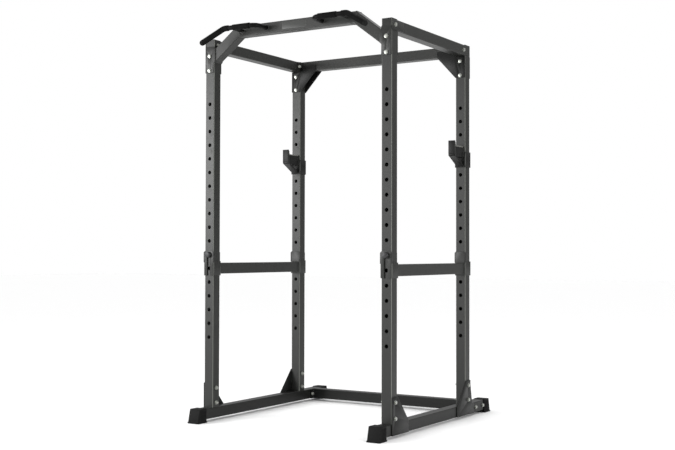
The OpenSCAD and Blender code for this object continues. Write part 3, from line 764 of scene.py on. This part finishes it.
class CAGE_OT_boots(bpy.types.Operator):
    """Rubber boots with rounded edges and moulded ribs"""

    bl_idname = "cage.boots"
    bl_label = "Rubber boots"

    def execute(self, context):
        sizes = context.scene.cage_sizes
        for end in ENDS:
            for side in SIDES:
                node = f"foot_{end}_{side}"
                low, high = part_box(node)
                boot = merged_copy(node, f"{node}_finished")
                soften(boot, sizes.boot_edge, 3)
                ribs = []
                rise = high.z - low.z
                inner = (high.y if end == "front" else low.y)
                way = -1 if end == "front" else 1
                for step in range(1, 5):
                    y = inner + way * step * 11 * MM
                    for x in (low.x + sizes.sole_lip, high.x - sizes.sole_lip):
                        ribs.append(block((x - sizes.boot_rib, y - 1.5 * MM, low.z + 7 * MM),
                                          (x + sizes.boot_rib, y + 1.5 * MM, low.z + rise * 0.86)))
                for rib in ribs:
                    soften(rib, sizes.boot_rib * 0.6, 2)
                boot = join([boot] + ribs, f"{node}_finished")
                settle(boot, FRAME_BODY, "foot_rubber", "boot_rubber", node)
        return {"FINISHED"}


class CAGE_OT_handles(bpy.types.Operator):
    """Painted handles, foam grips with rolled ends, and their caps"""

    bl_idname = "cage.handles"
    bl_label = "Handles and grips"

    def execute(self, context):
        for side in SIDES:
            paint(NODES[f"handle_{side}"], "handle_gloss")
            soft_node(f"grips_{side}", FRAME_BODY, "grip_rubber", "grip_foam", 0.9 * MM, 3)
        paint(NODES["grip_caps"], "boot_rubber")
        return {"FINISHED"}


# ---------- hooks and pins ----------
class CAGE_OT_hooks(bpy.types.Operator):
    """Hooks with deburred edges and moulded liners"""

    bl_idname = "cage.hooks"
    bl_label = "Bar hooks"

    def execute(self, context):
        edge = context.scene.cage_sizes.plate_edge
        for side in SIDES:
            body = f"hook_{side}"
            soft_node(f"hook_bracket_{side}", body, "bracket_paint", "bracket_coat", edge)
            soft_node(f"hook_lip_{side}", body, "bracket_paint", "bracket_coat", 1.5 * MM, 3)
            soft_node(f"hook_liner_{side}", body, "liner_plastic", "liner_grain", 1.2 * MM, 3)
        return {"FINISHED"}


class CAGE_OT_pins(bpy.types.Operator):
    """Blackened pins with rounded edges"""

    bl_idname = "cage.pins"
    bl_label = "Pull-out pins"

    def execute(self, context):
        names = [f"spotter_pin_{end}_{side}" for end in ENDS for side in SIDES]
        names += [f"hook_pin_{side}" for side in SIDES]
        for node in names:
            soft_node(node, node, "pin_steel", "pin_oxide", 0.5 * MM)
        return {"FINISHED"}


# ---------- welds ----------
def bead_loop(width, height, corner, radius, step):
    """A closed weld bead round a rectangle in the XY plane, about the origin."""
    bpy.ops.object.select_all(action="DESELECT")
    bpy.ops.mesh.primitive_plane_add(size=1)
    loop = bpy.context.view_layer.objects.active
    loop.scale = (width, height, 1)
    apply_all(loop)
    bpy.ops.object.mode_set(mode="EDIT")
    bpy.ops.mesh.select_all(action="SELECT")
    bpy.ops.mesh.delete(type="ONLY_FACE")
    bpy.ops.mesh.select_all(action="SELECT")
    bpy.ops.mesh.bevel(offset=corner, segments=4, affect="VERTICES")
    bpy.ops.mesh.select_all(action="DESELECT")
    bpy.ops.object.mode_set(mode="OBJECT")
    longest = max((loop.data.vertices[a].co - loop.data.vertices[b].co).length
                  for a, b in (e.vertices for e in loop.data.edges))
    for edge in loop.data.edges:
        a, b = (loop.data.vertices[i].co for i in edge.vertices)
        edge.select = (a - b).length > longest * 0.4
    bpy.ops.object.mode_set(mode="EDIT")
    bpy.ops.mesh.select_mode(type="EDGE")
    bpy.ops.mesh.subdivide(number_cuts=max(1, int(longest / step)))
    bpy.ops.mesh.select_mode(type="VERT")
    bpy.ops.object.mode_set(mode="OBJECT")
    bpy.ops.object.convert(target="CURVE")
    curve = bpy.context.view_layer.objects.active
    curve.data.bevel_depth = radius
    curve.data.bevel_resolution = 1
    for spline in curve.data.splines:
        for i, point in enumerate(spline.points):
            point.radius = 1.0 + 0.14 * (-1) ** i
    bpy.ops.object.convert(target="MESH")
    made = bpy.context.view_layer.objects.active
    only(made)
    bpy.ops.object.shade_smooth()
    return made


def bead_at(centre, normal, width, height, corner, sizes, spin=0.0):
    """A bead whose plane faces a normal; width runs along X, or along Y where the normal is X."""
    made = bead_loop(width, height, corner, sizes.bead, sizes.bead_step)
    quarter = math.radians(90)
    if normal == "x":
        turn = Matrix.Rotation(quarter, 4, "Z") @ Matrix.Rotation(quarter, 4, "X")
    elif normal == "y":
        turn = Matrix.Rotation(quarter, 4, "X")
    else:
        turn = Matrix.Identity(4)
    made.data.transform(Matrix.Translation(centre) @ Matrix.Rotation(spin, 4, "Y") @ turn)
    return made


class CAGE_OT_welds(bpy.types.Operator):
    """Weld beads where tubes meet flanges, collars and each other"""

    bl_idname = "cage.welds"
    bl_label = "Weld beads"

    def execute(self, context):
        sizes = context.scene.cage_sizes
        tube = sizes.tube
        corner = sizes.bead_corner
        beads = []
        for node, half_tube_back in (("base_crossbar", False), ("top_crossbar", True)):
            low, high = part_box(node)
            y = high.y - tube / 2 if half_tube_back else (low.y + high.y) / 2
            z = (low.z + high.z) / 2
            for x in (low.x + sizes.flange, high.x - sizes.flange):
                beads.append(bead_at(Vector((x, y, z)), "x", tube - 3 * MM, tube - 3 * MM, corner, sizes))
        low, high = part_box("chin_bar")
        half = tube / 2
        y, z = (low.y + high.y) / 2, (low.z + high.z) / 2
        slope = math.atan2(tube, 2 * (high.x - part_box("chin_leg_right")[0].x))
        lean = math.radians(90) - slope
        for sign in (-1, 1):
            x = sign * (high.x - half * math.tan(lean))
            beads.append(bead_at(Vector((x, y, z)), "x", tube - 2 * MM, (tube - 2 * MM) / math.cos(lean),
                                 corner, sizes, sign * lean))
        rod_r = sizes.handle_radius
        for side, sign in (("left", -1), ("right", 1)):
            inner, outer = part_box(f"handle_{side}")
            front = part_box("chin_bar")[0].y
            x = (inner.x if sign > 0 else outer.x) + sign * rod_r
            beads.append(bead_at(Vector((x, front, z)), "y", 2 * rod_r, 2 * rod_r, rod_r * 0.98, sizes))
        settle(join(beads, "welds_frame"), FRAME_BODY, "frame_paint", "weld_coat")
        for side in SIDES:
            low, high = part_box(f"spotter_bar_{side}")
            middle = (low + high) / 2
            ends = [bead_at(Vector((middle.x, y, middle.z)), "y", high.x - low.x - 2 * MM,
                            high.z - low.z - 2 * MM, 3 * MM, sizes) for y in (low.y, high.y)]
            settle(join(ends, f"welds_spotter_{side}"), f"spotter_{side}", "frame_paint", "weld_coat")
            lip_low, lip_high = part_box(f"hook_lip_{side}")
            liner_low, liner_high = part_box(f"hook_liner_{side}")
            arm = [(lip_high.y, liner_low.z), (liner_high.y, liner_low.z)]
            rings = [bead_at(Vector(((lip_low.x + lip_high.x) / 2, y, top - sizes.arm_height / 2)), "y",
                             lip_high.x - lip_low.x - 2 * MM, sizes.arm_height - 2 * MM, 3 * MM, sizes)
                     for y, top in arm]
            settle(join(rings, f"welds_hook_{side}"), f"hook_{side}", "bracket_paint", "weld_coat")
        return {"FINISHED"}


# ---------- studio ----------
def softbox(name, place, target, width, height, power):
    data = bpy.data.lights.new(name, "AREA")
    data.shape = "RECTANGLE"
    data.size = width
    data.size_y = height
    data.energy = power
    lamp = bpy.data.objects.new(name, data)
    lamp.location = place
    lamp.rotation_euler = (Vector(target) - Vector(place)).to_track_quat("-Z", "Y").to_euler()
    lamp.visible_camera = False
    bpy.context.scene.collection.objects.link(lamp)


class CAGE_OT_studio(bpy.types.Operator):
    """Pale floor, white surroundings, soft lights and the camera"""

    bl_idname = "cage.studio"
    bl_label = "Studio"

    def execute(self, context):
        studio = context.scene.cage_studio
        bpy.ops.object.select_all(action="DESELECT")
        bpy.ops.mesh.primitive_plane_add(size=60, location=(0, 0, 0))
        floor = bpy.context.view_layer.objects.active
        floor.name = "studio_floor"
        surface = Surface("studio_floor")
        tone = surface.noise(1.5, 3)
        base = surface.blend(tone, shade(studio.floor, 0.985), tuple(studio.floor))
        surface.set(base_color=base, roughness=0.6)
        floor.data.materials.append(surface.material)

        world = bpy.data.worlds.new("studio_walls")
        world.use_nodes = True
        walls = NodeMaker(world.node_tree)
        way = walls.node("ShaderNodeTexCoord").outputs["Generated"]
        rise = walls.node("ShaderNodeSeparateXYZ", None, {0: way}).outputs["Z"]
        glow = studio.horizon + Value(walls, rise).over(0.10, 0.45) * (studio.overhead - studio.horizon)
        seen = Value(walls, walls.node("ShaderNodeLightPath").outputs["Is Camera Ray"])
        background = world.node_tree.nodes["Background"]
        background.inputs["Color"].default_value = (1, 1, 1, 1)
        walls.feed(background.inputs["Strength"], glow + (1 - glow) * seen)
        context.scene.world = world

        softbox("softbox_left", (-3.15, -3.7, 1.8), (-0.55, -0.5, 1.6), 1.3, 1.5, studio.key)
        softbox("softbox_front", (-1.45, -4.1, 1.55), (0.55, -0.5, 1.2), 1.5, 2.5, studio.fill)
        softbox("softbox_right", (4.4, -1.7, 1.5), (0, 0, 1.1), 1.8, 2.6, studio.rim)

        across = Vector((math.cos(studio.yaw), math.sin(studio.yaw), 0))
        ahead = Vector((-math.sin(studio.yaw) * math.cos(studio.pitch),
                        math.cos(studio.yaw) * math.cos(studio.pitch), math.sin(studio.pitch)))
        up = across.cross(ahead)
        right = math.cos(studio.roll) * across + math.sin(studio.roll) * up
        top = -math.sin(studio.roll) * across + math.cos(studio.roll) * up
        data = bpy.data.cameras.new("camera")
        data.sensor_width = 36
        data.lens = studio.lens
        camera = bpy.data.objects.new("camera", data)
        turn = Matrix((right, top, -ahead)).transposed().to_4x4()
        camera.matrix_world = Matrix.Translation(studio.camera_place) @ turn
        context.scene.collection.objects.link(camera)
        context.scene.camera = camera
        context.scene.view_settings.view_transform = "Standard"
        return {"FINISHED"}


class VIEW3D_PT_cage(bpy.types.Panel):
    """Lists the steps of the cage's finish"""

    bl_label = "Power cage"
    bl_space_type = "VIEW_3D"
    bl_region_type = "UI"
    bl_category = "Power cage"

    def draw(self, context):
        for step in STEPS:
            self.layout.operator(step.bl_idname)
        for group in (context.scene.cage_sizes, context.scene.cage_colours, context.scene.cage_studio):
            box = self.layout.box()
            for name in group.__annotations__:
                box.prop(group, name)


GROUPS = {"cage_sizes": CageSizes, "cage_colours": CageColours, "cage_studio": CageStudio}
STEPS = (
    CAGE_OT_tubes, CAGE_OT_plates, CAGE_OT_caps, CAGE_OT_boots, CAGE_OT_handles,
    CAGE_OT_hooks, CAGE_OT_pins, CAGE_OT_fasteners, CAGE_OT_welds, CAGE_OT_studio,
)


def register():
    for made in (*GROUPS.values(), *STEPS, VIEW3D_PT_cage):
        bpy.utils.register_class(made)
    for name, group in GROUPS.items():
        setattr(bpy.types.Scene, name, bpy.props.PointerProperty(type=group))


def unregister():
    for name in GROUPS:
        delattr(bpy.types.Scene, name)
    for made in reversed((*GROUPS.values(), *STEPS, VIEW3D_PT_cage)):
        bpy.utils.unregister_class(made)


def main():
    register()
    bpy.ops.object.select_all(action="DESELECT")
    for step in STEPS:
        group, operator = step.bl_idname.split(".")
        getattr(getattr(bpy.ops, group), operator)()


if __name__ == "__main__":
    main()
